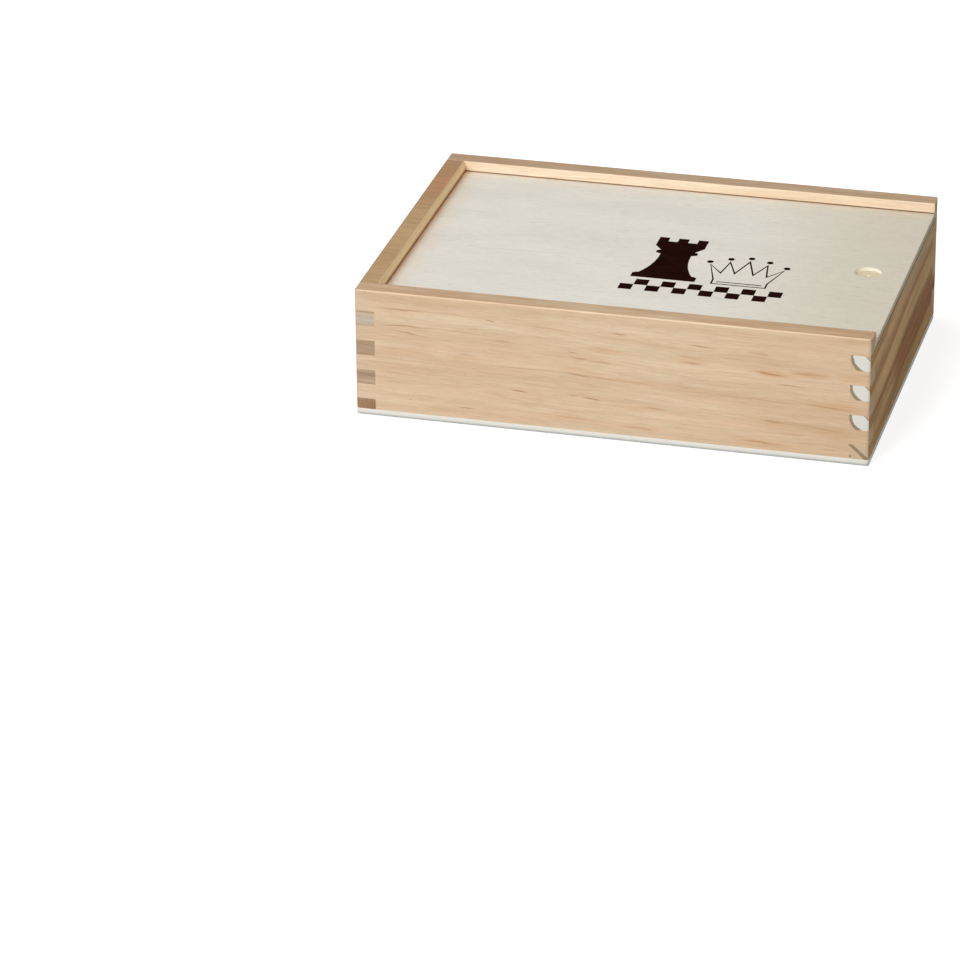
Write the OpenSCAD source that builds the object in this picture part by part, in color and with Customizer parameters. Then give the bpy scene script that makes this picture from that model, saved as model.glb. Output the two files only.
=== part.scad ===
// Wooden chess box with a sliding lid.
// Four finger-jointed walls stand on a glued plywood base. The lid is a plywood panel that
// runs in a groove under the rim and leaves over the low right-hand wall, along +X.
// Origin: centre of the underside. +X: the way the lid opens. -Y: the front. +Z: up.
// Millimetres.

/* [Box] */
// Length over the end walls
box_l = 230; // [150:1:300]
// Depth over the front and back walls
box_w = 165; // [100:1:220]
// Height from the underside of the base to the rim
box_h = 60; // [45:1:90]

/* [Walls] */
// Thickness of the four walls
wall_t = 9; // [7:0.5:14]
// Radius of the upright corners, sanded after the box is glued up
corner_r = 1.8; // [0.5:0.1:3]
// Radius of the outer edge of the rim
rim_r = 0.8; // [0.3:0.1:1.5]
// Radius of the inner edge of the rim on the front and back walls
lip_r = 0.5; // [0.2:0.1:1]
// Radius of the inner edge of the rim on the closed left wall
end_lip_r = 1.2; // [0.5:0.1:2]

/* [Base] */
// Thickness of the plywood base
base_t = 3; // [2.5:0.5:5]
// Radius of the base's lower edge
base_r = 0.7; // [0.3:0.1:1]

/* [Lid] */
// Thickness of the plywood lid
lid_t = 3; // [2.5:0.5:4]
// Drop from the rim to the lid's top face
lid_drop = 5; // [3:0.5:8]
// Depth of the lid's groove into the walls
groove_d = 4; // [2.5:0.5:5]
// Clearance under the lid in its groove
lid_play = 0.2; // [0.1:0.05:0.4]
// Clearance above the lid, which shows as a dark line along the walls
lid_gap = 0.5; // [0.2:0.1:0.8]
// Clearance between the lid's edges and the bottom of the groove
edge_play = 0.4; // [0.2:0.1:1]
// Radius of the lid's corners
lid_corner_r = 1; // [0.5:0.1:3]
// Radius of the lid's sanded edges
lid_edge_r = 0.3; // [0.1:0.1:0.8]

/* [Finger recess in the lid] */
// Diameter of the recess
recess_d = 12; // [8:0.5:20]
// Depth of the recess
recess_deep = 1.6; // [1:0.1:2]
// Distance from the recess's centre to the lid's open end
recess_in = 17; // [12:0.5:40]
// Diameter of the drill point's mark in the recess
point_d = 1; // [0.5:0.1:2]
// Depth of the drill point's mark
point_deep = 0.5; // [0.2:0.1:0.8]

/* [Finger joints] */
// Height of one finger
finger_h = 7; // [5:0.5:10]
// Wood left between the lid's groove and the first finger of the closed left wall
finger_web = 1.8; // [1:0.1:4]
// Height of the lowest finger that is still cut
finger_min = 2; // [1:0.5:4]

/* [Hidden] */
$fn = 48;
// Overlap of a cutter past the face that it opens
over = 1;

// Lid's resting place, and the pocket in the walls that it slides in
lid_z = box_h - lid_drop - lid_t;
pocket_z = lid_z - lid_play;
pocket_h = lid_t + lid_play + lid_gap;
pocket_w = box_w - 2 * (wall_t - groove_d);
pocket_x = wall_t - groove_d - box_l / 2;
lid_x = pocket_x + edge_play;
lid_l = box_l / 2 - lid_x;
lid_w = pocket_w - 2 * edge_play;

// Top of the first finger: under a web in the left wall, level with the low right wall's top
left_finger_z = pocket_z - finger_web;
right_finger_z = pocket_z;
finger_pitch = 2 * finger_h;

// Waste outside a quarter round: the sharp corner is at the origin, the wood towards +X and +Y
module corner_waste(r) {
    difference() {
        translate([-over, -over]) square(r + over);
        translate([r, r]) circle(r);
    }
}

// Rectangle centred on X, standing on Y = 0, with its own radius at the lower and upper corners
module eased_rect(w, h, low_r, high_r) {
    difference() {
        translate([-w / 2, 0]) square([w, h]);
        for (side = [0, 1]) mirror([side, 0]) {
            if (low_r > 0) translate([-w / 2, 0]) corner_waste(low_r);
            if (high_r > 0) translate([-w / 2, h]) mirror([0, 1]) corner_waste(high_r);
        }
    }
}

// Block standing on Z = 0 with rounded upright corners and eased lower and upper edges
module eased_block(l, w, h, plan_r, low_r, high_r) {
    intersection() {
        translate([0, -w / 2, 0]) linear_extrude(h) eased_rect(l, w, plan_r, plan_r);
        translate([0, w / 2, 0]) rotate([90, 0, 0]) linear_extrude(w) eased_rect(l, h, low_r, high_r);
        translate([-l / 2, 0, 0]) rotate([90, 0, 90]) linear_extrude(l) eased_rect(w, h, low_r, high_r);
    }
}

// Outside of the glued-up walls, solid
module wall_form() {
    translate([0, 0, base_t]) eased_block(box_l, box_w, box_h - base_t, corner_r, 0, rim_r);
}

// Room for the lid: grooves in three walls, open over the low right-hand wall
module lid_pocket() {
    translate([pocket_x, -pocket_w / 2, pocket_z])
        cube([box_l / 2 + over - pocket_x, pocket_w, pocket_h]);
}

// Fingers of a left-hand end wall, full depth of the box, counted down from the first one's
// top to the base. grow is their extra length past each side
module end_fingers(first_z, grow) {
    count = 1 + floor((first_z - base_t - finger_min) / finger_pitch);
    for (i = [0 : count - 1]) {
        top = first_z - i * finger_pitch;
        low = max(top - finger_h, base_t);
        translate([-box_l / 2 - grow, -box_w / 2 - grow, low])
            cube([wall_t + grow, box_w + 2 * grow, top - low]);
    }
}

// Front wall: runs the whole length, with sockets for the end walls' fingers
module long_wall() {
    difference() {
        intersection() {
            wall_form();
            translate([-box_l / 2, -box_w / 2, base_t]) cube([box_l, wall_t, box_h - base_t]);
        }
        lid_pocket();
        end_fingers(left_finger_z, over);
        mirror([1, 0, 0]) end_fingers(right_finger_z, over);
        translate([-box_l / 2 - over, wall_t - box_w / 2, box_h])
            rotate([90, 0, 90]) linear_extrude(box_l + 2 * over)
                rotate(180) corner_waste(lip_r);
    }
}

// Left-hand end wall up to a given height, with its fingers through the front and back walls
module end_wall(top, first_z) {
    difference() {
        intersection() {
            wall_form();
            union() {
                translate([-box_l / 2, wall_t - box_w / 2, base_t])
                    cube([wall_t, box_w - 2 * wall_t, top - base_t]);
                end_fingers(first_z, 0);
            }
        }
        lid_pocket();
    }
}

module front_wall() {
    color([0.87, 0.75, 0.61]) long_wall();
}

module back_wall() {
    color([0.86, 0.73, 0.58]) mirror([0, 1, 0]) long_wall();
}

// Closed end: as high as the rim, with its inner edge rounded over
module left_wall() {
    color([0.76, 0.62, 0.47])
        difference() {
            end_wall(box_h, left_finger_z);
            translate([wall_t - box_l / 2, box_w / 2, box_h])
                rotate([90, 0, 0]) linear_extrude(box_w)
                    rotate(180) corner_waste(end_lip_r);
        }
}

// Open end: stops just under the lid, which slides out over it
module right_wall() {
    color([0.66, 0.52, 0.38]) mirror([1, 0, 0]) end_wall(pocket_z, right_finger_z);
}

module base_panel() {
    color([0.85, 0.82, 0.75]) eased_block(box_l, box_w, base_t, corner_r, base_r, 0);
}

// Lid with the drilled finger recess near its open end
module lid_panel() {
    color([0.84, 0.81, 0.73])
        difference() {
            translate([lid_x + lid_l / 2, 0, lid_z])
                eased_block(lid_l, lid_w, lid_t, lid_corner_r, lid_edge_r, lid_edge_r);
            translate([box_l / 2 - recess_in, 0, lid_z + lid_t - recess_deep]) {
                cylinder(d = recess_d, h = recess_deep + over);
                translate([0, 0, -point_deep]) cylinder(d1 = 0, d2 = point_d, h = point_deep);
            }
        }
}

front_wall();
back_wall();
left_wall();
right_wall();
base_panel();
lid_panel();
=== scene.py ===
"""Wooden chess box with a sliding lid: finishes of its boards, print on the lid, light and camera.

Everything is in metres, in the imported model's own frame: +X is the way the lid slides out, -Y is
the front, +Z is up. Patterns in the wood are worked out in millimetres.
"""
import math

import bmesh
import bpy
from mathutils import Matrix, Vector


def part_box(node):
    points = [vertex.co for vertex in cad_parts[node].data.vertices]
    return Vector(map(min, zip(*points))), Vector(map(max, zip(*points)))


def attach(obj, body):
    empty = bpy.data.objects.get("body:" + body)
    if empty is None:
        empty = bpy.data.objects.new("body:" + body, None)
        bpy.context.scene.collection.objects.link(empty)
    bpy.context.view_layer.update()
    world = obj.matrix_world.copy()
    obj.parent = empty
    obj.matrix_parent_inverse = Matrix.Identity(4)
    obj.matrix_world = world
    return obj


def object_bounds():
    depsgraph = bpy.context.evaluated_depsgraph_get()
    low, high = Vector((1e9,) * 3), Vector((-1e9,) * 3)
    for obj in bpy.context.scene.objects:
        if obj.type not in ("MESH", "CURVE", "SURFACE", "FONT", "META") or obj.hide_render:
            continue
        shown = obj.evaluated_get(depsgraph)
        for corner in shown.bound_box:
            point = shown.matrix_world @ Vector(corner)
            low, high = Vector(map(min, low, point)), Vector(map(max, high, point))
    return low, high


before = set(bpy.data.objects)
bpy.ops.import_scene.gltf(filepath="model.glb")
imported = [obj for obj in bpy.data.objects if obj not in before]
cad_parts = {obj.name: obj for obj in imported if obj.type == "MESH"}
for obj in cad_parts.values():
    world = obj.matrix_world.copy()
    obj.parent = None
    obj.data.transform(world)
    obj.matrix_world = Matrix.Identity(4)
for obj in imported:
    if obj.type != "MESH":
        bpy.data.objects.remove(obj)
cad_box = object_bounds()

MM = 0.001

# The box's own sizes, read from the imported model. Those that end in MM are in millimetres.
# The two INSIDE values are where the front and the left wall's inner faces stand
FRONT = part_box("front_wall")
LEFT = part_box("left_wall")
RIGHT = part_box("right_wall")
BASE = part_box("base_panel")
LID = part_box("lid_panel")
RIM_MM = FRONT[1].z / MM
END_MM = RIGHT[1].x / MM
INSIDE_Y_MM = FRONT[1].y / MM
INSIDE_LEFT_MM = LEFT[1].x / MM
LID_TOP = LID[1].z
LID_TOP_MM = LID_TOP / MM
LID_MM = (LID[1].z - LID[0].z) / MM
BASE_MM = (BASE[1].z - BASE[0].z) / MM

# Finger joints: drop from the rim to the left wall's first finger, tops of both walls' first
# fingers, a finger's height, the pitch, and how many fingers a wall has
LEFT_FINGER_DROP = 10.0
LEFT_FINGER_MM = RIM_MM - LEFT_FINGER_DROP
RIGHT_FINGER_MM = RIGHT[1].z / MM
FINGER_H = 7.0
FINGER_PITCH = 2 * FINGER_H
FINGERS = 4

# Finger recess in the lid: distance from the open end, place along X, and radius
RECESS_IN = 17.0
RECESS_X_MM = END_MM - RECESS_IN
RECESS_R = 6.0

# Share of a drawn mark, from its middle out, that is at full strength
MARK_CORE = 0.15


class Field:
    """A number that varies over a surface: arithmetic on it adds Math nodes."""

    def __init__(self, paint, socket):
        self.paint = paint
        self.socket = socket

    def math(self, operation, *others):
        values = dict(enumerate((self,) + others))
        return self.paint.node("ShaderNodeMath", {"operation": operation}, values)

    def __add__(self, other):
        return self.math("ADD", other)

    def __radd__(self, other):
        return self.math("ADD", other)

    def __sub__(self, other):
        return self.math("SUBTRACT", other)

    def __rsub__(self, other):
        return self.paint.node("ShaderNodeMath", {"operation": "SUBTRACT"}, {0: other, 1: self})

    def __mul__(self, other):
        return self.math("MULTIPLY", other)

    def __rmul__(self, other):
        return self.math("MULTIPLY", other)

    def __truediv__(self, other):
        return self.math("DIVIDE", other)

    def __pow__(self, other):
        return self.math("POWER", other)

    def __abs__(self):
        return self.math("ABSOLUTE")

    def most(self, other):
        """The larger of two values."""
        return self.math("MAXIMUM", other)

    def modulo(self, period):
        """The remainder after whole periods, never negative."""
        return self.math("FLOORED_MODULO", period)

    def between(self, low, high):
        """0 below low, 1 above high, smooth on the way."""
        values = {0: self, 1: low, 2: high, 3: 0.0, 4: 1.0}
        return self.paint.node("ShaderNodeMapRange", {"interpolation_type": "SMOOTHSTEP"}, values)

    def line(self, centre, half, soft):
        """1 within half of centre, 0 beyond half + soft."""
        return 1 - abs(self - centre).between(half, half + soft)


class Paint:
    """One material, built node by node."""

    def __init__(self, name, specular):
        self.material = bpy.data.materials.new(name)
        self.material.use_nodes = True
        self.nodes = self.material.node_tree.nodes
        self.links = self.material.node_tree.links
        self.shader = self.nodes["Principled BSDF"]
        self.shader.inputs["Specular IOR Level"].default_value = specular

    def put(self, socket, value):
        """Gives a socket a link, a number, a vector or a colour."""
        if isinstance(value, Field):
            self.links.new(value.socket, socket)
        elif isinstance(value, tuple) and socket.type == "RGBA":
            socket.default_value = (*value[:3], 1.0)
        else:
            socket.default_value = value

    def node(self, kind, settings=None, inputs=None, output=0):
        """Adds a node, sets it up, fills its sockets and returns one output as a Field."""
        made = self.nodes.new(kind)
        for name, value in (settings or {}).items():
            if name == "stops":
                self.set_stops(made.color_ramp, value)
            else:
                setattr(made, name, value)
        for key, value in (inputs or {}).items():
            self.put(made.inputs[key], value)
        return Field(self, made.outputs[output])

    @staticmethod
    def set_stops(ramp, stops):
        while len(ramp.elements) < len(stops):
            ramp.elements.new(0.5)
        for element, (place, colour) in zip(ramp.elements, stops):
            element.position = place
            element.color = (*colour, 1.0)

    def place(self):
        """Object coordinates in millimetres, as a vector."""
        metres = self.node("ShaderNodeTexCoord", output="Object")
        settings = {"operation": "SCALE"}
        return self.node("ShaderNodeVectorMath", settings, {"Vector": metres, "Scale": 1 / MM})

    def normal(self, axis):
        """How far the surface faces along an axis, from -1 to 1."""
        return self.part(self.node("ShaderNodeTexCoord", output="Normal"), axis)

    def part(self, vector, axis):
        return self.node("ShaderNodeSeparateXYZ", None, {0: vector}, axis)

    def joined(self, x, y, z):
        return self.node("ShaderNodeCombineXYZ", None, {0: x, 1: y, 2: z})

    def noise(self, vector, size, detail, rough, seed):
        """Smooth noise from 0 to 1. size is the pattern's length along X, Y and Z, in mm."""
        values = {0: vector, 1: tuple(1 / length for length in size), 2: (seed,) * 3}
        moved = self.node("ShaderNodeVectorMath", {"operation": "MULTIPLY_ADD"}, values)
        values = {"Vector": moved, "Scale": 1.0, "Detail": detail, "Roughness": rough}
        return self.node("ShaderNodeTexNoise", None, values)

    def mark(self, board, along, up, half_l, half_h, fall):
        """One long soft mark: 1 in its middle, 0 at its outline. fall tilts its right end down."""
        values = {"Vector": board, "Location": (along, up, 0.0), "Rotation": (0.0, 0.0, -fall),
                  "Scale": (half_l, half_h, 1.0)}
        inside = self.node("ShaderNodeMapping", {"vector_type": "TEXTURE"}, values)
        reach = self.node("ShaderNodeVectorMath", {"operation": "LENGTH"}, {0: inside}, "Value")
        return 1 - reach.between(MARK_CORE, 1.0)

    def marks(self, board, table):
        """All marks of a table, each (along, up, half length, half height, fall, strength)."""
        total = None
        for along, up, half_l, half_h, fall, strength in table:
            one = self.mark(board, along, up, half_l, half_h, fall) * strength
            total = one if total is None else total.most(one)
        return total

    def ramp(self, factor, stops):
        """A tone or colour from (place, colour) stops, blended smoothly."""
        return self.node("ShaderNodeValToRGB", {"stops": stops}, {0: factor})

    def mix(self, factor, a, b, kind="MIX"):
        """Blends two colours."""
        settings = {"data_type": "RGBA", "blend_type": kind}
        return self.node("ShaderNodeMix", settings, {0: factor, 6: a, 7: b}, 2)

    def shade(self, colour, tone):
        """A colour made lighter or darker by a number round 1."""
        return self.mix(1.0, colour, self.joined(tone, tone, tone), "MULTIPLY")

    def grain(self, colour, change):
        """Lighter or darker by a change round 0, and redder where it is darker."""
        tone = self.joined(*(1 + change * strength for strength in (0.8, 1.0, 1.3)))
        return self.mix(1.0, colour, tone, "MULTIPLY")

    def tint(self, colour, factor, by):
        """Multiplies a colour by another where factor is 1."""
        return self.mix(factor, colour, by, "MULTIPLY")

    def finish(self, colour, rough, height=None, relief=0.1):
        """Joins colour, roughness and a surface relief, in millimetres, to the shader."""
        self.put(self.shader.inputs["Base Color"], colour)
        self.put(self.shader.inputs["Roughness"], rough)
        if height is not None:
            values = {"Strength": 1.0, "Distance": relief * MM, "Height": height}
            self.put(self.shader.inputs["Normal"], self.node("ShaderNodeBump", None, values))
        return self.material


def tones(stops, low, high):
    """Ramp stops from (place in millimetres, tone) pairs, over the range low to high."""
    return [((place - low) / (high - low), (tone,) * 3) for place, tone in stops]


# Colours of the woods and the ink, as linear red, green and blue
PINE = (0.70, 0.505, 0.335)
PINE_PALE = (0.75, 0.575, 0.40)
PINE_ROSE = (0.715, 0.475, 0.315)
PINE_ORANGE = (0.69, 0.42, 0.23)
PINE_STREAK = (0.45, 0.21, 0.10)
PINE_TAN = (0.56, 0.37, 0.169)
PINE_BROWN = (0.30, 0.149, 0.053)
PINE_UMBER = (0.29, 0.128, 0.042)
PINE_GREY = (0.47, 0.37, 0.22)
END_EARLY = (0.52, 0.37, 0.22)
END_TAN = (0.66, 0.49, 0.32)
END_BROWN = (0.42, 0.28, 0.18)
END_PALE = (0.77, 0.76, 0.69)
END_LINE = (0.27, 0.20, 0.12)
RIM_TAN = (0.47, 0.305, 0.15)
RIM_CHESTNUT = (0.415, 0.235, 0.112)
RIM_DULL = (0.40, 0.26, 0.125)
RIM_RED = (0.46, 0.225, 0.10)
# Painted highlight on the left wall's rounded inner top edge
RIM_EDGE_HIGHLIGHT = (0.64, 0.45, 0.24)
# The left wall's inner face: a paler wood tone, lightened further as painted light from the lid
LEFT_INSIDE_LIT = (0.98, 0.75, 0.43)
POPLAR = (0.745, 0.71, 0.63)
POPLAR_GREY = (0.67, 0.64, 0.57)
POPLAR_WARM = (0.70, 0.65, 0.53)
POPLAR_LINE = (0.56, 0.49, 0.38)
POPLAR_CORE = (0.62, 0.53, 0.36)
POPLAR_SPECK = (0.78, 0.70, 0.52)
POPLAR_CREAM = (0.90, 0.88, 0.74)
BASE_EDGE = (0.87, 0.85, 0.775)
LID_EDGE = (0.55, 0.45, 0.29)
GLUE = (0.34, 0.25, 0.16)
INK = (0.013, 0.0035, 0.0025)
INK_WORN = (0.030, 0.011, 0.008)

# Tints: factors on red, green and blue where a board is paler, darker, warmer or greyer
# Painted shade: the front wall's top face darker
FRONT_RIM_SHADE_TINT = (0.77, 0.75, 0.72)
# Painted light: the front wall's inner face lighter
FRONT_INSIDE_LIGHT_TINT = (1.05, 1.05, 1.05)
FRONT_RIGHT_TINT = (0.94, 0.90, 0.85)
# Painted shade: the back wall's top face darker
BACK_RIM_SHADE_TINT = (0.66, 0.64, 0.60)
# Painted light, partly a paler wood tone: the back wall's inner face lighter
BACK_INSIDE_LIGHT_TINT = (1.21, 1.31, 1.40)
RIM_PATCH_TINT = (0.88, 0.80, 0.72)
# Painted highlight on the long walls' rounded top edges
EDGE_HIGHLIGHT_TINT = (1.10, 1.12, 1.14)
# Painted shadow: the right wall's top, under the lid, darker
RIGHT_LID_SHADOW_TINT = (0.6, 0.62, 0.62)
RIGHT_UPPER_TINT = (0.90, 0.87, 0.88)
# Painted shade: the left wall's inner face darker and warmer just above the lid
LEFT_LID_SHADE_TINT = (0.85, 0.72, 0.60)
LEFT_EDGE_TINT = (0.62, 0.60, 0.52)
# Painted shade: the base's edges darker and bluer towards the bottom
BASE_LOWER_SHADE_TINT = (0.60, 0.66, 0.69)
# Painted shade: the lid darker and greyer towards the open end
LID_RIGHT_SHADE_TINT = (0.88, 0.865, 0.84)
# Painted warm bounce light and shade on the lid near the left wall
LID_LEFT_BOUNCE_TINT = (0.96, 0.91, 0.86)
LID_LEFT_END_BOUNCE_TINT = (0.94, 0.77, 0.64)
# Painted warm bounce light on the lid near the back wall
LID_BACK_BOUNCE_TINT = (0.99, 0.95, 0.91)
# Painted shade: a thin warm dark line on the lid where it meets the left and back walls
LID_GAP_SHADE_TINT = (0.85, 0.52, 0.34)

# Bands of the end walls, from tan (0) to brown (1), as (height up the board, tone) at their
# darkest and palest places
RIGHT_BANDS = [
    (5.2, 0.38), (9.2, 0.76), (12.8, 0.28), (17.4, 0.40), (21.1, 0.98), (24.8, 0.30),
    (28.0, 0.0), (32.8, 0.26), (35.2, 0.88), (37.7, 0.30), (45.5, 0.02), (48.4, 0.50),
    (50.2, 0.33),
]
LEFT_BANDS = [
    (3.0, 0.2), (9.0, 0.45), (11.5, 0.15), (21.0, 0.2), (24.0, 0.55), (26.0, 0.15),
    (36.0, 0.15), (38.5, 0.5), (41.0, 0.12), (50.0, 0.1), (60.0, 0.15),
]

# End grain of the left wall's fingers: (depth under the first finger's top, colour). The dark
# first stop, at the first finger's top, is a painted shadow line at the joint
LEFT_FINGER_COLOURS = [
    (0.0, (0.40, 0.27, 0.15)), (1.2, (0.58, 0.47, 0.335)), (4.5, (0.59, 0.49, 0.385)),
    (7.0, (0.50, 0.385, 0.275)), (14.0, (0.44, 0.30, 0.185)), (15.5, (0.42, 0.285, 0.172)),
    (17.5, (0.475, 0.335, 0.22)), (21.0, (0.43, 0.285, 0.17)), (28.0, (0.57, 0.40, 0.27)),
    (29.0, (0.50, 0.35, 0.23)), (29.8, (0.39, 0.27, 0.17)), (31.2, (0.41, 0.285, 0.185)),
    (33.2, (0.54, 0.385, 0.265)), (35.0, (0.48, 0.335, 0.22)), (42.0, (0.45, 0.27, 0.155)),
    (43.3, (0.38, 0.22, 0.12)), (47.0, (0.345, 0.19, 0.10)),
]

# Darker streaks in the front wall's grain, as Paint.marks reads them: along the board from its
# middle, up it from the underside, half length, half height, fall, strength
FRONT_STREAKS = [
    (-93, 52.4, 16.2, 0.55, 0, 0.81), (-72, 52.3, 12.5, 0.47, 0.04, 0.43),
    (-53.5, 51.4, 3.8, 0.47, 0.08, 0.92), (-29, 50.2, 13.8, 0.39, 0.05, 0.59),
    (-92, 44.6, 16.2, 0.51, 0, 1), (-66, 44.4, 17.5, 0.39, 0.02, 0.54),
    (-91, 41.5, 9.4, 0.51, 0.11, 0.92), (-61, 46.5, 6.2, 0.39, 0, 0.43),
    (-48, 42, 7.5, 0.62, 0.05, 0.7), (-26, 45.4, 17.5, 0.35, 0.02, 0.54),
    (-16.5, 40, 3.8, 0.47, 0.05, 0.86), (-13.5, 37.6, 6.9, 0.51, 0.08, 0.86),
    (-4, 36.7, 7.5, 0.47, 0.06, 0.86), (-26, 37.9, 10, 0.35, 0.03, 0.49),
    (-65, 34, 5, 0.39, 0, 0.54), (-37, 30.1, 22.5, 0.35, 0, 0.54),
    (-14, 29.4, 8.8, 0.74, 0.09, 0.97), (-2, 28.9, 11.2, 0.47, 0.03, 0.76),
    (11, 28.4, 11.2, 0.43, 0.02, 0.54), (-94, 21.6, 12.5, 0.39, 0.04, 0.49),
    (-40.5, 19.1, 5.2, 0.58, 0.06, 1), (-16.2, 19.6, 3.5, 0.43, 0.06, 0.86),
    (-8, 18.6, 6.2, 0.58, 0.1, 1), (-64.5, 8.4, 5, 0.47, 0, 0.86), (-17, 8.7, 10, 0.55, 0, 0.49),
    (4, 51, 6.2, 0.47, 0, 0.81), (41, 48.7, 8.8, 0.43, 0.06, 0.97),
    (66, 48.3, 7.5, 0.47, 0.06, 0.54), (53, 44.5, 10, 0.39, 0.06, 0.65),
    (35.5, 43.4, 7.5, 0.51, 0.07, 0.76), (36, 40.5, 8.1, 0.62, 0.05, 0.65),
    (70.5, 39.3, 8.8, 0.74, 0.11, 1), (87, 40.6, 11.2, 0.62, 0, 0.59),
    (80, 34.5, 10, 0.35, 0.01, 0.86), (48, 31.2, 22.5, 0.31, 0.01, 0.43),
    (61, 26.8, 37.5, 0.35, 0.02, 0.65), (96, 26.2, 16.2, 0.47, 0.06, 0.86),
    (20, 17.3, 7.5, 0.51, 0.03, 0.76), (73.5, 16.5, 6.8, 0.75, 0.07, 1),
    (91, 15.8, 18.8, 0.39, 0.03, 0.81), (13, 7, 12.5, 0.47, 0, 0.65),
    (68, 6.1, 13.8, 0.47, 0.03, 0.81), (97, 5.9, 6.2, 0.39, 0, 0.65),
    (80, 11.5, 10, 0.39, 0, 0.43), (105.5, 57.9, 4, 0.39, 0, 0.65),
    (52, 37.8, 11.2, 0.31, 0.04, 0.43), (83.5, 31, 6.2, 0.39, 0, 0.54),
    (-89.8, 9.3, 0.6, 0.39, 0, 0.97),
]

# Broad reddish zones round those streaks, in the same form
FRONT_GLOWS = [
    (-2.0, 42.4, 13.0, 2.4, 0.02, 0.9), (-92.0, 32.8, 16.0, 2.8, 0.02, 0.8),
    (-65.0, 32.2, 11.0, 2.4, 0.0, 0.6), (-14.0, 31.5, 18.0, 2.8, 0.03, 0.6),
    (4.0, 29.0, 24.0, 1.8, 0.02, 0.5), (36.0, 42.0, 12.0, 3.6, 0.05, 0.7),
    (72.0, 39.5, 14.0, 2.8, 0.06, 0.9), (88.0, 40.8, 14.0, 2.4, 0.0, 1.0),
    (108.0, 40.5, 11.0, 3.6, 0.02, 0.7), (100.0, 26.8, 20.0, 3.2, 0.05, 0.8),
    (72.0, 16.3, 14.0, 2.6, 0.05, 0.7), (101.0, 14.2, 14.0, 4.4, 0.0, 0.6),
    (15.0, 16.8, 14.0, 2.4, 0.02, 0.5), (15.0, 7.5, 16.0, 2.6, 0.0, 0.6),
    (-48.0, 42.5, 18.0, 3.0, 0.02, 0.4), (-95.0, 52.0, 20.0, 3.0, 0.0, 0.4),
    (70.0, 6.0, 28.0, 2.8, 0.0, 0.6), (-18.0, 8.5, 20.0, 3.0, 0.0, 0.5),
    (-80.0, 57.0, 36.0, 3.5, 0.0, 0.5), (-95.0, 24.0, 22.0, 3.6, 0.0, 0.4),
]

# Faint long lines in the lid's face, in the same form: X and Y on the lid
LID_LINES = [
    (-60.0, -12.0, 44.0, 0.9, -0.03, 0.6), (-60.0, -38.8, 14.0, 0.7, 0.0, 0.5),
    (88.0, -16.8, 27.0, 0.9, 0.0, 0.8), (98.0, 11.0, 17.0, 0.7, 0.0, 0.5),
    (-2.0, 11.5, 16.0, 0.7, -0.02, 0.4), (-7.5, -18.0, 6.0, 0.6, -0.08, 0.7),
    (-56.5, 32.0, 4.0, 0.6, -0.1, 0.5), (-98.0, 37.8, 3.6, 0.8, 0.0, 1.0),
    (-93.5, 53.0, 1.6, 0.7, 0.6, 1.0), (-97.0, 56.5, 1.2, 0.5, 0.8, 0.6),
    (-61.0, 28.2, 0.9, 0.6, 0.0, 0.8), (-86.0, -42.8, 0.9, 0.5, 0.0, 0.7),
    (60.0, -60.5, 0.8, 0.6, 0.0, 0.6), (-22.0, 28.0, 10.0, 0.6, 0.0, 0.4),
    (30.0, 31.0, 18.0, 0.6, 0.0, 0.35), (-30.0, -55.0, 20.0, 0.6, 0.0, 0.3),
]


# Sanded pine: its roughness, and its relief in millimetres
PINE_ROUGHNESS = 0.68
PINE_RELIEF = 0.12

# Growth rings in the long walls' ends: depth of their centre under the board, and pitch
HEART_BELOW = 40.0
RING_PITCH = 4.6

# Sanded poplar: its roughness, and its relief in millimetres
PLY_ROUGHNESS = 0.5
PLY_RELIEF = 0.04

# Dry ink: its roughness, and its relief in millimetres
INK_ROUGHNESS = 0.6
INK_RELIEF = 0.01

# How squarely a surface faces an axis where it begins to count as flat, and where it is
FLAT = (0.8, 0.95)


def board_place(paint, along):
    """Where a point of a board lies: along the grain, up the board, through it. Millimetres."""
    place = paint.place()
    x, y, z = (paint.part(place, axis) for axis in range(3))
    return (x, z, y) if along == "X" else (y, z, x)


def fibre(paint, board, seed):
    """Fine fibres and short open pores along the grain."""
    fine = paint.noise(board, (9.0, 0.35, 0.35), 3.0, 0.6, seed) - 0.5
    pores = paint.noise(board, (3.2, 0.45, 0.45), 1.0, 0.5, seed + 4).between(0.66, 0.76)
    return fine, pores


def end_grain(paint, colour, axis, end_colour):
    """Swaps in the end grain where the surface faces along the grain."""
    return paint.mix(abs(paint.normal(axis)).between(0.6, 0.8), colour, end_colour)


def edge_highlight(paint, colour, axes, by):
    """Lightens the rounded edges between two axes' faces: a painted highlight where the edges
    catch the light.
    """
    first, second = (abs(paint.normal(axis)) for axis in axes)
    return paint.tint(colour, (first * second).between(0.2, 0.42), by)


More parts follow.
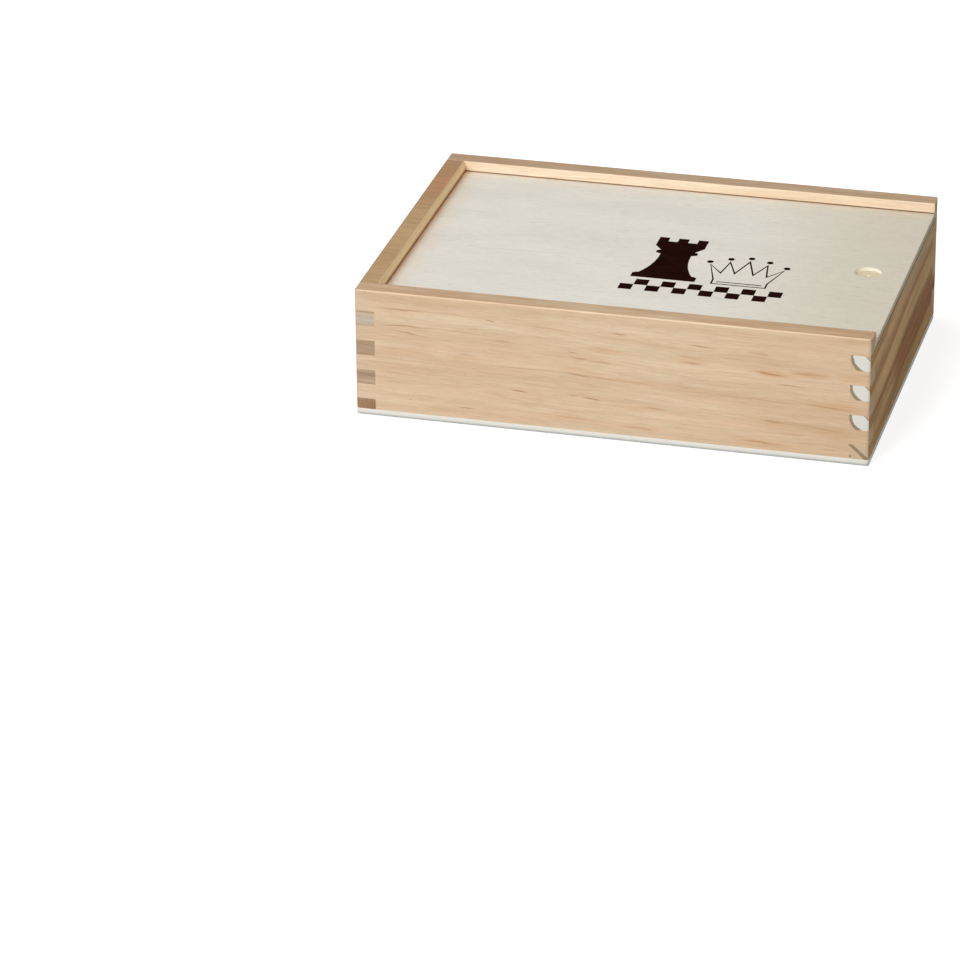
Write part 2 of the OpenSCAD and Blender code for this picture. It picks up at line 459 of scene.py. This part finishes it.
def long_wall_finish(name, seed, fall, inner_side, rim, inner, streaks=None, glows=None):
    """Front or back wall: rift-sawn pine with low-contrast streaks that fall along the board.

    rim and inner are the tints of its upper edge and of its face inside the box: rim is painted
    shade on the top face, inner is painted light on the inner face.
    """
    paint = Paint(name, specular=0.25)
    u, v, w = board_place(paint, "X")
    board = paint.joined(u, v, w)
    bend = paint.noise(board, (90.0, 30.0, 30.0), 2.0, 0.5, seed) - 0.5
    level = v + u * fall + bend * 6.0 + w * 0.6
    flow = paint.joined(u, level, w * 0.3)
    fine, pores = fibre(paint, flow, seed)
    threads = paint.noise(flow, (110.0, 5.0, 20.0), 4.0, 0.85, seed + 9) - 0.5

    bands = paint.noise(flow, (200.0, 7.0, 30.0), 3.0, 0.6, seed + 1)
    rings = paint.noise(flow, (120.0, 1.5, 12.0), 3.0, 0.7, seed + 2)
    broken = paint.noise(flow, (20.0, 3.0, 8.0), 2.0, 0.5, seed + 3)
    streak = rings.between(0.54, 0.72) * broken.between(0.46, 0.66)
    rosy = paint.noise(flow, (60.0, 4.0, 20.0), 2.0, 0.5, seed + 6).between(0.46, 0.72)

    colour = paint.mix(bands.between(0.3, 0.7), PINE_PALE, PINE)
    if streaks:
        sway = (paint.noise(board, (11.0, 5.0, 30.0), 2.0, 0.5, seed + 7) - 0.5) * 1.5
        drawn = paint.joined(u, v + sway, 0.0)
        glow = paint.marks(drawn, glows)
        placed = paint.marks(drawn, streaks) * (0.85 + fine * 1.6 + threads * 2.5)
        colour = paint.mix(rosy * 0.35, colour, PINE_ROSE)
        colour = paint.mix(glow * (0.6 + threads * 2.0), colour, PINE_ORANGE)
        colour = paint.tint(colour, u.between(0.0, END_MM), FRONT_RIGHT_TINT)
        colour = paint.mix((placed * 0.8).most(streak * 0.18), colour, PINE_STREAK)
    else:
        colour = paint.mix(rosy * 0.6, colour, PINE_ROSE)
        colour = paint.mix(streak * 0.5, colour, PINE_STREAK)
    colour = paint.grain(colour, fine * 0.45 + threads * 0.6 - pores * 0.10)

    up = paint.normal(2).between(*FLAT)
    inwards = (paint.normal(1) * inner_side).between(*FLAT)
    drift = paint.noise(board, (34.0, 3.0, 5.0), 3.0, 0.6, seed + 8).between(0.3, 0.7)
    # Painted shade: the top face darkened by the rim tint
    colour = paint.tint(colour, up, rim)
    colour = paint.tint(colour, up * drift, RIM_PATCH_TINT)
    # Painted light: the inner face lightened by the inner tint
    colour = paint.tint(colour, inwards, inner)
    # Painted highlight along the rounded top edges
    colour = edge_highlight(paint, colour, (1, 2), EDGE_HIGHLIGHT_TINT)

    ring = ((v + HEART_BELOW) ** 2.0 + (w * 1.4) ** 2.0) ** 0.5
    ring = ring + (paint.noise(board, (9.0, 9.0, 9.0), 2.0, 0.5, seed) - 0.5) * 1.5
    late = (ring.modulo(RING_PITCH) / RING_PITCH).between(0.45, 1.0)
    colour = end_grain(paint, colour, 0, paint.mix(late * 0.8, END_EARLY, END_BROWN))
    height = fine * 0.6 - pores * 0.5 - streak * 0.3
    return paint.finish(colour, PINE_ROUGHNESS, height, PINE_RELIEF)


def brown_board(paint, u, v, w, seed, stops, contrast):
    """Flat-sawn pine with broad brown latewood bands. stops are (height, tone) up the board."""
    board = paint.joined(u, v, w)
    bend = paint.noise(board, (60.0, 30.0, 30.0), 2.0, 0.5, seed) - 0.5
    climb = u.between(-66.0, 26.0)
    level = v - climb * (2.2 + v * 0.092) + bend * 1.6
    dark = paint.ramp(level / RIM_MM, tones(stops, 0.0, RIM_MM))
    flow = paint.joined(u, level, w)
    fine, pores = fibre(paint, flow, seed)
    veins = paint.noise(flow, (90.0, 5.0, 12.0), 4.0, 0.75, seed + 2) - 0.5
    colour = paint.mix(dark, PINE_TAN, PINE_BROWN)
    tone = (1 + (fine * 0.9 + veins * 1.7) * contrast) * (1 - pores * 0.12)
    return colour, tone, fine - pores * 0.5, level, climb


def right_wall_finish():
    """Low right-hand wall: brown bands outside, pale end grain with dark arcs in the fingers."""
    paint = Paint("pine_right_wall", specular=0.2)
    u, v, w = board_place(paint, "Y")
    colour, tone, relief, level, climb = brown_board(paint, u, v, w, seed=31.0,
                                                     stops=RIGHT_BANDS, contrast=1.0)
    heart = level.line(15.0, 5.2, 1.2) * climb.between(0.2, 0.7)
    colour = paint.mix(heart * 0.9, colour, PINE_UMBER)
    colour = paint.mix(v.between(41.0, 51.0) * climb * 0.8, colour, PINE_GREY)
    # Painted shadow: a darker strip at the right wall's top, under the lid
    top = v.between(RIGHT_FINGER_MM - 1.1, RIGHT_FINGER_MM - 0.5)
    colour = paint.tint(colour, top, RIGHT_LID_SHADOW_TINT)
    colour = paint.tint(colour, v.between(26.0, 34.0), RIGHT_UPPER_TINT)
    colour = paint.shade(colour, tone)
    colour = end_grain(paint, colour, 1, right_fingers(paint, u, v, w))
    return paint.finish(colour, PINE_ROUGHNESS, relief, PINE_RELIEF)


def right_fingers(paint, u, v, w):
    """End grain of the right wall's fingers: a pale leaf between two dark ring lines."""
    from_end = END_MM - w
    down = RIGHT_FINGER_MM - v
    step = down.modulo(FINGER_PITCH)
    place = paint.joined(u, v, w)
    ragged = (paint.noise(place, (1.6, 1.6, 1.6), 2.0, 0.5, 5.0) - 0.5) * 0.9
    outer = ((from_end - 0.3) ** 2.0 + (step + 0.1) ** 2.0) ** 0.5 + ragged
    inner = ((from_end - 8.3) ** 2.0 + (step - 7.7) ** 2.0) ** 0.5 + ragged * 0.5
    leaf = (1 - outer.between(7.8, 8.3)) * (1 - inner.between(9.2, 9.6))
    arcs = outer.line(8.4, 0.6, 0.3) + inner.line(9.6, 0.1, 0.3) * 0.7

    last_top = (FINGERS - 1) * FINGER_PITCH
    last = down.between(last_top - 3.0, last_top - 2.0)
    band = (from_end + step * 1.12 + ragged).line(8.4, 1.0, 0.3)
    dot = ((from_end - 8.3) ** 2.0 + (step - 5.6) ** 2.0) ** 0.5
    lines = arcs * (1 - last) + (band + 1 - dot.between(0.4, 0.65)) * last

    speckle = paint.noise(place, (0.5, 0.5, 0.5), 2.0, 0.5, 6.0) - 0.5
    colour = paint.mix(leaf * (1 - last), END_TAN, END_PALE)
    colour = paint.mix(lines.between(0.0, 1.0) * (0.85 + speckle), colour, END_LINE)
    return paint.shade(colour, 1 + speckle * 0.2)


def left_wall_finish():
    """Closed left-hand wall: tan with soft brown bands, and greyish to reddish end grain."""
    paint = Paint("pine_left_wall", specular=0.25)
    u, v, w = board_place(paint, "Y")
    colour, tone, relief, _, _ = brown_board(paint, u, v, w, seed=12.0,
                                             stops=LEFT_BANDS, contrast=0.5)
    colour = paint.shade(colour, tone)
    board = paint.joined(u, v, w)

    up = paint.normal(2).between(0.75, 0.95)
    slow = paint.noise(board, (26.0, 60.0, 50.0), 1.0, 0.5, 3.0)
    red = u.line(43.0, 5.0, 10.0) + u.line(-50.0, 3.0, 8.0) * 0.4
    scratches = paint.noise(board, (0.9, 9.0, 12.0), 3.0, 0.7, 5.0) - 0.5
    rim = paint.mix(u.between(0.0, 40.0), RIM_TAN, RIM_CHESTNUT)
    rim = paint.mix(slow.between(0.4, 0.65) * 0.5, rim, RIM_DULL)
    rim = paint.mix(red * 0.6, rim, RIM_RED)
    rim = paint.shade(rim, 0.955 + scratches * 0.85)
    joint = abs(u).line(-INSIDE_Y_MM, 0.12, 0.2)
    rim = paint.mix(joint * 0.6, rim, PINE_UMBER)
    colour = paint.mix(up, colour, rim)

    # The inner face: a paler wood tone, lightened further as painted light from the lid
    inwards = paint.normal(0).between(0.3, 0.9)
    inside = paint.shade(LEFT_INSIDE_LIT, 1 + scratches * 0.15)
    # Painted shade: darker and warmer just above the lid
    near_lid_shade = 1 - v.between(LID_TOP_MM + 0.6, LID_TOP_MM + 2.2)
    inside = paint.tint(inside, near_lid_shade, LEFT_LID_SHADE_TINT)
    colour = paint.mix(inwards, colour, inside)

    leaning = paint.normal(0) * paint.normal(2)
    # Painted highlight along the rounded inner top edge
    colour = paint.mix(leaning.between(0.15, 0.35) * 0.55, colour, RIM_EDGE_HIGHLIGHT)
    colour = paint.tint(colour, (0 - leaning).between(0.1, 0.35), LEFT_EDGE_TINT)
    colour = end_grain(paint, colour, 1, left_fingers(paint, u, v, w))
    return paint.finish(colour, PINE_ROUGHNESS, relief, PINE_RELIEF)


def left_fingers(paint, u, v, w):
    """End grain of the left wall's fingers: each finger has its own tone, in flat layers."""
    place = paint.joined(u, v, w)
    wave = paint.noise(place, (4.0, 8.0, 6.0), 2.0, 0.5, 8.0) - 0.5
    flat = paint.joined(0.0, v + w * 0.12 + wave * 1.2, w * 0.08)
    layers = paint.noise(flat, (9.0, 1.5, 9.0), 2.0, 0.6, 2.0).between(0.35, 0.68)
    down = LEFT_FINGER_MM - v
    stops = [(depth / LEFT_FINGER_MM, colour) for depth, colour in LEFT_FINGER_COLOURS]
    colour = paint.ramp(down / LEFT_FINGER_MM, stops)
    rays = paint.noise(place, (3.0, 6.0, 0.45), 1.0, 0.5, 9.0) - 0.5
    low = down.between(38.0, 41.0)
    return paint.shade(colour, (1.08 - layers * 0.18) * (1 + rays * low * 0.7))


def plywood(name, top_mm, thick, edge, seed, is_lid=False):
    """Three-ply poplar: fine short grain along X on its faces, layers at its edges."""
    paint = Paint(name, specular=0.35 if is_lid else 0.2)
    layered = 1.0 if is_lid else 0.25
    place = paint.place()
    x, y, z = (paint.part(place, axis) for axis in range(3))
    depth = (top_mm - z) / thick
    cloud = paint.noise(place, (46.0, 20.0, 60.0), 3.0, 0.55, seed)
    bend = paint.noise(place, (120.0, 40.0, 120.0), 2.0, 0.5, seed + 1) - 0.5
    flow = paint.joined(x, y + bend * 10.0, z)
    rings = paint.noise(flow, (190.0, 2.6, 60.0), 3.0, 0.7, seed + 2)
    dash = paint.noise(flow, (5.0, 0.75, 3.0), 2.0, 0.6, seed + 3)
    dark_dash = dash.between(0.56, 0.74)
    pale_dash = 1 - dash.between(0.26, 0.44)
    fine = paint.noise(flow, (2.4, 0.35, 2.0), 2.0, 0.6, seed + 4) - 0.5

    face = paint.mix(cloud.between(0.3, 0.7) * 0.7, POPLAR, POPLAR_GREY)
    face = paint.mix(x.between(10.0, 110.0) * 0.7, face, POPLAR_WARM)
    face = paint.mix(rings.between(0.60, 0.74) * 0.22, face, POPLAR_LINE)
    face = paint.shade(face, (1 + fine * 0.18) * (1 - dark_dash * 0.12 + pale_dash * 0.07))

    cross = paint.noise(place, (0.5, 6.0, 3.0), 2.0, 0.6, seed + 5) - 0.5
    middle = depth.line(0.5, 0.15, 0.03)
    seams = depth.line(0.32, 0.02, 0.03) + depth.line(0.68, 0.02, 0.03)
    plies = (1 + fine * 0.3 * layered, 1 - (0.14 - cross * 0.4) * layered)
    side = paint.mix(middle, *(paint.shade(edge, ply) for ply in plies))
    side = paint.mix(seams * 0.5 * layered, side, GLUE)
    upright = 1 - abs(paint.normal(2)).between(0.4, 0.7)

    if is_lid:
        face = lid_face(paint, face, x, y)
        face, side = finger_recess(paint, face, side, place, (x, y, depth), seed)
    else:
        # Painted shade: the edges darker and bluer towards the bottom
        side = paint.tint(side, depth.between(0.4, 0.85), BASE_LOWER_SHADE_TINT)
    colour = paint.mix(upright, face, side)
    return paint.finish(colour, PLY_ROUGHNESS, fine * 0.4 - dark_dash * 0.7, PLY_RELIEF)


def lid_face(paint, face, x, y):
    """Adds tones to the lid's faces: painted shade, greyer and darker to the right; painted warm
    bounce light and shade near the left and back walls; thin warm painted shade lines where the
    lid meets those walls; faint long lines.
    """
    left_end = INSIDE_LEFT_MM
    back_edge = -INSIDE_Y_MM
    # Painted shade: darker and greyer towards the open end
    face = paint.tint(face, x.between(35.0, END_MM), LID_RIGHT_SHADE_TINT)
    # Painted warm bounce light and shade near the left wall
    face = paint.tint(face, 1 - x.between(left_end, left_end + 14.0), LID_LEFT_BOUNCE_TINT)
    face = paint.tint(face, 1 - x.between(left_end, left_end + 5.0), LID_LEFT_END_BOUNCE_TINT)
    # Painted warm bounce light near the back wall
    face = paint.tint(face, y.between(back_edge - 7.0, back_edge), LID_BACK_BOUNCE_TINT)
    # Painted shade: thin warm dark lines where the lid meets the left and back walls
    gap_shade = x.line(left_end, 0.3, 0.2).most(y.line(back_edge + 0.5, 0.5, 0.2))
    face = paint.tint(face, gap_shade, LID_GAP_SHADE_TINT)
    lines = paint.marks(paint.joined(x, y, 0.0), LID_LINES)
    return paint.mix(lines * 0.4, face, POPLAR_LINE)


def finger_recess(paint, face, side, place, at, seed):
    """Adds the drilled recess: cream wall, darker core on its floor, pale drill point."""
    x, y, depth = at
    reach = ((x - RECESS_X_MM) ** 2.0 + y ** 2.0) ** 0.5
    bored = 1 - reach.between(RECESS_R + 0.3, RECESS_R + 0.6)
    specks = paint.noise(place, (1.0, 1.0, 1.0), 2.0, 0.6, seed + 6).between(0.45, 0.7)
    floor = paint.mix(specks * 0.7, POPLAR_CORE, POPLAR_SPECK)
    floor = paint.mix(1 - reach.between(0.4, 0.7), floor, POPLAR_CREAM)
    face = paint.mix(bored * depth.between(0.3, 0.4), face, floor)
    return face, paint.mix(bored, side, POPLAR_CREAM)


def ink_finish():
    """Thin matt print: nearly black brown that lets a little of the grain through."""
    paint = Paint("dark_print", specular=0.0)
    place = paint.place()
    grain = paint.noise(place, (4.0, 0.5, 4.0), 2.0, 0.5, 3.0)
    wide = paint.noise(place, (26.0, 9.0, 20.0), 2.0, 0.5, 7.0)
    worn = grain.between(0.45, 0.8) * 0.5 + wide.between(0.4, 0.8) * 0.3
    return paint.finish(paint.mix(worn, INK, INK_WORN), INK_ROUGHNESS, grain, INK_RELIEF)


def dress(node, material):
    """Gives a CAD node its material."""
    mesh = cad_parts[node].data
    mesh.materials.clear()
    mesh.materials.append(material)


# Print on the lid, drawn in millimetres: X along the lid, Y towards the back wall
INK_T = 0.03
LINE_W = 0.75
SQUARE = 6.0
STRIP_COLUMNS = 12
STRIP_ROWS = 2
PRINT_X = -6.0
PRINT_Y = -43.0
GROUND_Y = PRINT_Y + STRIP_ROWS * SQUARE + 2.5
TOWER_X = PRINT_X + 17.0
CROWN_X = PRINT_X + 51.0
SHARPEST_MITRE = 0.15
HOLLOW = 2.4
PEARL_R = 1.5
PEARLS = ((-17.4, 24.0), (-8.8, 28.8), (0.0, 31.4), (8.8, 28.8), (17.4, 24.0))
BAND_Y = 2.4
BAND_HALF = 10.2


def sweep(wide, low, narrow, high, steps=10):
    """The hollow sweep of a tapering wall, from a wide foot to a narrow neck."""
    shares = [i / steps for i in range(steps + 1)]
    return [(narrow + (wide - narrow) * (1 - s) ** HOLLOW, low + (high - low) * s)
            for s in shares]


def mirrored(half):
    """Closes a right-hand half outline, given from the foot up, with its mirror image."""
    return half + [(-x, y) for x, y in reversed(half) if x > 0]


def tower_outline():
    """A castle tower: stepped foot, hollow wall, collar and battlements."""
    half = [(14.5, 0.0), (14.5, 4.2), (13.0, 5.4)] + sweep(12.0, 5.4, 7.0, 28.0)
    half += [(9.4, 29.0), (9.4, 31.4), (7.8, 32.4), (11.2, 37.0), (11.2, 46.5)]
    half += [(6.6, 46.5), (6.6, 42.4), (2.4, 42.4), (2.4, 46.5)]
    return mirrored(half)


def crown_outline():
    """A crown with five points."""
    return mirrored([(12.5, 0.0), (12.5, 5.0), (17.0, 22.0), (10.6, 13.5), (8.6, 26.5),
                     (4.2, 14.5), (0.0, 29.0)])


def disc_outline(x, y, radius, steps=20):
    turns = [2 * math.pi * i / steps for i in range(steps)]
    return [(x + radius * math.cos(a), y + radius * math.sin(a)) for a in turns]


def box_outline(x, y, width, height):
    return [(x, y), (x + width, y), (x + width, y + height), (x, y + height)]


def inner_outline(outline, width):
    """A closed outline moved inwards by a line's width, with mitred corners."""
    points = [Vector(p) for p in outline]
    count = len(points)
    area = sum(points[i - 1].cross(points[i]) for i in range(count))
    side = 1.0 if area > 0 else -1.0
    inner = []
    for i, point in enumerate(points):
        before = (point - points[i - 1]).normalized()
        after = (points[(i + 1) % count] - point).normalized()
        normals = [Vector((-d.y, d.x)) * side for d in (before, after)]
        spread = max(1 + normals[0].dot(normals[1]), SHARPEST_MITRE)
        inner.append(point + (normals[0] + normals[1]) * (width / spread))
    return [tuple(p) for p in inner]


def loops(bm, outline):
    """The same outline at the bottom and on top of the ink, in millimetres."""
    return [[bm.verts.new((x, y, z)) for x, y in outline] for z in (0.0, INK_T)]


def wall_faces(bm, low, high):
    for i in range(len(low)):
        bm.faces.new([low[i - 1], low[i], high[i], high[i - 1]])


def printed(name, filled, lined, at=(0.0, 0.0)):
    """A print on the lid from closed outlines, some filled and some drawn as a line."""
    bm = bmesh.new()
    for outline in filled:
        low, high = loops(bm, [(x + at[0], y + at[1]) for x, y in outline])
        wall_faces(bm, low, high)
        bm.faces.new(low)
        bm.faces.new(high)
    for outline in lined:
        outline = [(x + at[0], y + at[1]) for x, y in outline]
        low, high = loops(bm, outline)
        low_in, high_in = loops(bm, inner_outline(outline, LINE_W))
        for a, b in ((low, high), (low_in, high_in), (low, low_in), (high, high_in)):
            wall_faces(bm, a, b)
    bm.normal_update()
    bmesh.ops.triangulate(bm, faces=[face for face in bm.faces if len(face.verts) > 4])
    bmesh.ops.recalc_face_normals(bm, faces=bm.faces)
    bm.transform(Matrix.Translation((0.0, 0.0, LID_TOP)) @ Matrix.Scale(MM, 4))
    mesh = bpy.data.meshes.new(name)
    bm.to_mesh(mesh)
    bm.free()
    piece = bpy.data.objects.new(name, mesh)
    bpy.context.scene.collection.objects.link(piece)
    return piece


def lid_print():
    """A strip of board squares, with a solid tower and an outlined crown standing on it."""
    squares = [box_outline(PRINT_X + column * SQUARE, PRINT_Y + row * SQUARE, SQUARE, SQUARE)
               for row in range(STRIP_ROWS) for column in range(STRIP_COLUMNS)
               if (column + row) % 2 == 0]
    pearls = [disc_outline(x, y, PEARL_R) for x, y in PEARLS]
    band = box_outline(-BAND_HALF, BAND_Y, 2 * BAND_HALF, LINE_W)
    return [printed("print_board_squares", squares, []),
            printed("print_tower", [tower_outline()], [], (TOWER_X, GROUND_Y)),
            printed("print_crown", pearls + [band], [crown_outline()], (CROWN_X, GROUND_Y))]


# Studio: brightness of the surroundings as light and as the eye sees them, and of the floor
SKY_LIGHT = 0.30
SKY_SEEN = 1.0
FLOOR_GREY = 0.50
FLOOR_GLOW = 0.74
FLOOR_HALF = 6.0
FLOOR_GAP = 0.0002
KEY_PLACE, KEY_SIZE, KEY_WATTS = (-0.75, -1.9, 1.35), (1.1, 0.9), 40.0
TOP_PLACE, TOP_SIZE, TOP_WATTS = (-0.5, 0.3, 1.7), (1.2, 1.2), 8.0
SIDE_PLACE, SIDE_SIZE, SIDE_WATTS = (1.7, -0.5, 1.1), (0.9, 0.9), 6.0
AIM = (0.0, 0.0, 0.03)


def add_lamp(name, place, size, watts):
    lamp = bpy.data.lights.new(name, "AREA")
    lamp.shape = "RECTANGLE"
    lamp.size, lamp.size_y = size
    lamp.energy = watts
    holder = bpy.data.objects.new(name, lamp)
    holder.location = place
    holder.rotation_euler = (Vector(AIM) - Vector(place)).to_track_quat("-Z", "Y").to_euler()
    bpy.context.scene.collection.objects.link(holder)


def add_floor():
    """Pale floor that keeps the box's soft shadow."""
    paint = Paint("studio_floor", specular=0.0)
    paint.put(paint.shader.inputs["Base Color"], (FLOOR_GREY,) * 3)
    paint.put(paint.shader.inputs["Roughness"], 1.0)
    paint.put(paint.shader.inputs["Emission Color"], (1.0, 1.0, 1.0))
    seen = paint.node("ShaderNodeLightPath", output="Is Camera Ray")
    paint.put(paint.shader.inputs["Emission Strength"], seen * FLOOR_GLOW)
    bm = bmesh.new()
    bmesh.ops.create_grid(bm, x_segments=1, y_segments=1, size=FLOOR_HALF)
    bmesh.ops.translate(bm, verts=bm.verts, vec=(0.0, 0.0, -FLOOR_GAP))
    mesh = bpy.data.meshes.new("floor")
    bm.to_mesh(mesh)
    bm.free()
    mesh.materials.append(paint.material)
    floor = bpy.data.objects.new("floor", mesh)
    bpy.context.scene.collection.objects.link(floor)


def add_surroundings():
    """Even white all round: plain white to the eye, and a softer level as light."""
    world = bpy.data.worlds.new("studio")
    world.use_nodes = True
    bpy.context.scene.world = world
    nodes, links = world.node_tree.nodes, world.node_tree.links
    path = nodes.new("ShaderNodeLightPath")
    seen = path.outputs["Is Camera Ray"]
    for ray in ("Is Glossy Ray", "Is Transmission Ray"):
        either = nodes.new("ShaderNodeMath")
        either.operation = "MAXIMUM"
        links.new(seen, either.inputs[0])
        links.new(path.outputs[ray], either.inputs[1])
        seen = either.outputs[0]
    level = nodes.new("ShaderNodeMapRange")
    level.inputs["To Min"].default_value = SKY_LIGHT
    level.inputs["To Max"].default_value = SKY_SEEN
    links.new(seen, level.inputs["Value"])
    back = nodes["Background"]
    back.inputs["Color"].default_value = (1.0, 1.0, 1.0, 1.0)
    links.new(level.outputs["Result"], back.inputs["Strength"])


# The camera: direction to it from the box's middle, its lens, and the box's place in the picture
CAMERA_AZIMUTH = 14.887
CAMERA_ELEVATION = 25.708
CAMERA_ROLL = -0.494
CAMERA_DISTANCE = 2.16208
CAMERA_LENS = 180.36
CAMERA_SENSOR = 36.0
BOX_RIGHT_OF_AXIS = 0.07719
BOX_ABOVE_AXIS = 0.0794


def add_camera():
    azimuth, elevation = math.radians(CAMERA_AZIMUTH), math.radians(CAMERA_ELEVATION)
    back = Vector((math.sin(azimuth) * math.cos(elevation),
                   -math.cos(azimuth) * math.cos(elevation), math.sin(elevation)))
    right = Vector((0.0, 0.0, 1.0)).cross(back).normalized()
    up = back.cross(right)
    turn = Matrix.Rotation(math.radians(CAMERA_ROLL), 3, back)
    right, up = turn @ right, turn @ up
    middle = (cad_box[0] + cad_box[1]) / 2
    data = bpy.data.cameras.new("camera")
    data.lens = CAMERA_LENS
    data.sensor_width = CAMERA_SENSOR
    camera = bpy.data.objects.new("camera", data)
    axis = middle - right * BOX_RIGHT_OF_AXIS - up * BOX_ABOVE_AXIS
    camera.location = axis + back * CAMERA_DISTANCE
    camera.rotation_euler = Matrix((right, up, back)).transposed().to_euler()
    bpy.context.scene.collection.objects.link(camera)
    bpy.context.scene.camera = camera


dress("front_wall", long_wall_finish("pine_front_wall", seed=3.0, fall=0.03, inner_side=1.0,
                                     rim=FRONT_RIM_SHADE_TINT, inner=FRONT_INSIDE_LIGHT_TINT,
                                     streaks=FRONT_STREAKS, glows=FRONT_GLOWS))
dress("back_wall", long_wall_finish("pine_back_wall", seed=17.0, fall=-0.03, inner_side=-1.0,
                                    rim=BACK_RIM_SHADE_TINT, inner=BACK_INSIDE_LIGHT_TINT))
dress("left_wall", left_wall_finish())
dress("right_wall", right_wall_finish())
dress("base_panel", plywood("plywood_base", BASE_MM, BASE_MM, BASE_EDGE, seed=21.0))
dress("lid_panel", plywood("plywood_lid", LID_TOP_MM, LID_MM, LID_EDGE, seed=2.0, is_lid=True))

ink = ink_finish()
for piece in lid_print():
    piece.data.materials.append(ink)
    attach(piece, "lid")

add_lamp("key_softbox", KEY_PLACE, KEY_SIZE, KEY_WATTS)
add_lamp("top_softbox", TOP_PLACE, TOP_SIZE, TOP_WATTS)
add_lamp("side_softbox", SIDE_PLACE, SIDE_SIZE, SIDE_WATTS)
add_floor()
add_surroundings()
add_camera()
bpy.context.scene.view_settings.view_transform = "Standard"
